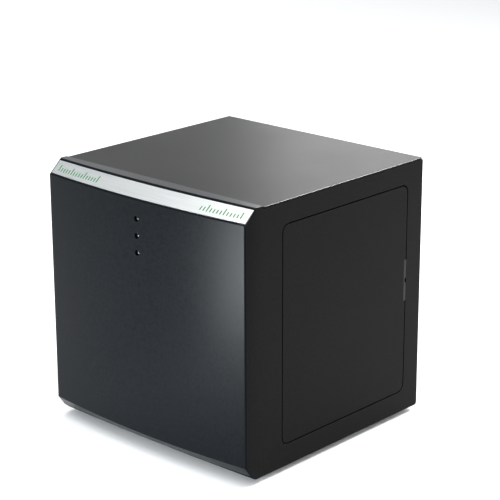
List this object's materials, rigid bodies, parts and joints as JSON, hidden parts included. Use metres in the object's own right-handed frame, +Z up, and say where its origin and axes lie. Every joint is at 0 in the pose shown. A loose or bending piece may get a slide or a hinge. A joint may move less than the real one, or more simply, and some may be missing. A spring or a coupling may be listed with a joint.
{
  "type": "bench-top motion controller",
  "caption": "Cube-shaped controller case with a bowed front cap, bright trim strip, indicator lamps, hinged side door, drive cards, supply, fan and rear sockets.",
  "frame": {"origin": "middle of the whole object's box in plan, on the plane that the feet stand on", "axes": "+X to the viewer's right when facing the front, -Y out of the front face, +Z up"},
  "size_m": [0.229, 0.238, 0.235],
  "materials": {
    "cap_plastic": "fine-textured satin moulding",
    "panel_paint": "fine-textured powder coat",
    "trim_silver": "satin",
    "lamp_plastic": "smoked gloss",
    "bare_steel": "zinc plated",
    "black_plastic": "moulded",
    "rail_aluminium": "as extruded",
    "foot_rubber": "matt",
    "pin_brass": "bright",
    "board_green": "solder mask",
    "cable_grey": "flat cable",
    "cable_black": "cable sheath"
  },
  "bodies": {
    "case": {"base_plate": "bare_steel", "card_bracket_1": "bare_steel", "card_bracket_2": "bare_steel", "card_bracket_3": "bare_steel", "card_heatsink_1": "rail_aluminium", "card_heatsink_2": "rail_aluminium", "card_heatsink_3": "rail_aluminium", "catch_magnet": "black_plastic", "drive_card_1": "board_green", "drive_card_2": "board_green", "drive_card_3": "board_green", "drive_connector_1": "bare_steel", "drive_connector_2": "bare_steel", "drive_connector_3": "bare_steel", "fan_frame": "black_plastic", "fan_guard": "bare_steel", "foot_front_left": "foot_rubber", "foot_front_right": "foot_rubber", "foot_rear_left": "foot_rubber", "foot_rear_right": "foot_rubber", "front_bezel": "cap_plastic", "front_plate": "bare_steel", "hinge_bracket_lower": "bare_steel", "hinge_bracket_upper": "bare_steel", "hinge_pin_lower": "bare_steel", "hinge_pin_upper": "bare_steel", "indicator_board": "board_green", "indicator_lamp_1": "lamp_plastic", "indicator_lamp_2": "lamp_plastic", "indicator_lamp_3": "lamp_plastic", "indicator_ribbon": "cable_grey", "inlet_pin_earth": "pin_brass", "inlet_pin_line": "pin_brass", "inlet_pin_neutral": "pin_brass", "left_panel": "panel_paint", "main_board": "board_green", "mains_inlet": "black_plastic", "mains_lead": "cable_black", "power_supply": "rail_aluminium", "rail_lower_left": "rail_aluminium", "rail_lower_right": "rail_aluminium", "rail_upper_left": "rail_aluminium", "rail_upper_right": "rail_aluminium", "rear_panel": "panel_paint", "right_panel": "panel_paint", "serial_connector": "bare_steel", "supply_lead": "cable_black", "switch_housing": "black_plastic", "top_cover": "panel_paint", "trim_strip": "trim_silver", "usb_socket": "bare_steel"},
    "door": {"access_door": "panel_paint", "finger_pull": "black_plastic", "strike_plate": "bare_steel"},
    "fan_rotor": {"fan_rotor": "black_plastic"},
    "power_rocker": {"power_rocker": "black_plastic"},
    "fuse_drawer": {"fuse_drawer": "black_plastic"}
  },
  "joints": [
    {"name": "door_swing", "type": "hinge", "parent": "case", "child": "door", "pos_m": [0.11, -0.0587, 0.11945], "axis": [0, 0, -1], "range_deg": [0, 100]},
    {"name": "fan_spin", "type": "hinge", "parent": "case", "child": "fan_rotor", "pos_m": [-0.062, 0.0974, 0.178], "axis": [0, 1, 0], "continuous": true},
    {"name": "rocker_tilt", "type": "hinge", "parent": "case", "child": "power_rocker", "pos_m": [-0.084, 0.1086, 0.1], "axis": [-1, 0, 0], "range_deg": [0, 14]},
    {"name": "fuse_drawer_slide", "type": "slide", "parent": "case", "child": "fuse_drawer", "axis": [0, 1, 0], "range_m": [0, 0.014]}
  ]
}
